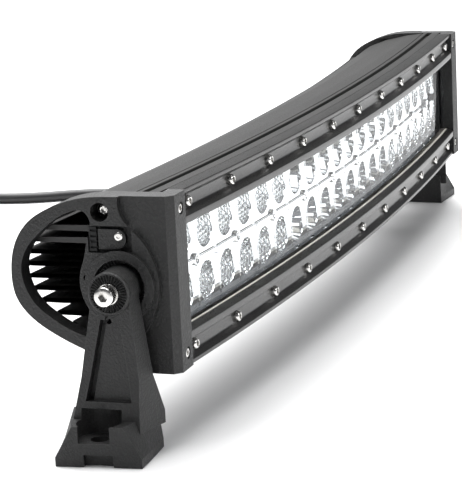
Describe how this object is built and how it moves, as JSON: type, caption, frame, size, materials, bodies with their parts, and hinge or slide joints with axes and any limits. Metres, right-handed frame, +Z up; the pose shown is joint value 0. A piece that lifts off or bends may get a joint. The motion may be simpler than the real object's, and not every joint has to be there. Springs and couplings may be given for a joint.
{
  "type": "led light bar",
  "caption": "Curved double-row LED work light bar with cast end caps, finned back, two tilting side brackets and a power lead.",
  "frame": {"origin": "midway between the two mounting bolt holes, on the mounting surface", "axes": "+X along the bar, -Y the way the light shines, +Z up"},
  "size_m": [0.6112, 0.425, 0.114],
  "materials": {
    "bezel_black": "extruded aluminium, satin black",
    "board": "white solder mask on an aluminium board",
    "cable": "black cable sheath",
    "cast_black": "cast aluminium, fine-textured black powder coat",
    "clear_lens": "clear polycarbonate",
    "core": "insulated copper",
    "extrusion_black": "extruded aluminium, satin black",
    "led": "phosphor and clear silicone dome",
    "nylon_black": "moulded nylon",
    "reflector": "vacuum-metallised plastic",
    "rubber_black": "moulded rubber",
    "seal": "silicone rubber",
    "stainless": "stainless steel"
  },
  "bodies": {
    "left_bracket": {"bracket_left": "cast_black", "power_cable": "cable", "power_cable_coil": "cable", "power_cable_tail": "cable", "cable_tie": "nylon_black", "plug": "nylon_black", "plug_seal": "rubber_black"},
    "light_bar": {"housing": "extrusion_black", "bezel_top": "bezel_black", "bezel_bottom": "bezel_black", "bezel_screws_top": "stainless", "bezel_screws_bottom": "stainless", "lens": "clear_lens", "lens_gasket": "seal", "reflector_flood_left": "reflector", "reflector_spot": "reflector", "reflector_flood_right": "reflector", "reflector_screws": "stainless", "led_board": "board", "leds": "led", "end_cap_left": "cast_black", "end_cap_right": "cast_black", "end_cap_seal_left": "seal", "end_cap_seal_right": "seal", "end_cap_front_screws": "stainless", "end_cap_side_screws": "stainless", "entry_cover_left": "cast_black", "entry_cover_right": "cast_black", "entry_cover_screws": "stainless", "entry_grommet_left": "rubber_black", "entry_grommet_right": "rubber_black", "pivot_bolt_left": "stainless", "pivot_bolt_right": "stainless", "spring_washer_left": "stainless", "spring_washer_right": "stainless", "pivot_nut_left": "stainless", "pivot_nut_right": "stainless", "lead_cores": "core", "cable_inlet": "cable", "gland_body": "nylon_black", "gland_nut": "nylon_black", "strain_relief": "rubber_black"},
    "right_bracket": {"bracket_right": "cast_black"}
  },
  "joints": [
    {"name": "bar_tilt", "type": "hinge", "parent": "left_bracket", "child": "light_bar", "pos_m": [-0.2835, -0.0065, 0.0745], "axis": [1, 0, 0], "range_deg": [-45, 45]},
    {"name": "right_bracket_turn", "type": "hinge", "parent": "light_bar", "child": "right_bracket", "pos_m": [0.2835, -0.0065, 0.0745], "axis": [1, 0, 0], "range_deg": [-45, 45]}
  ],
  "couplings": [
    {"joint": "right_bracket_turn", "follows": "bar_tilt", "ratio": -1}
  ]
}
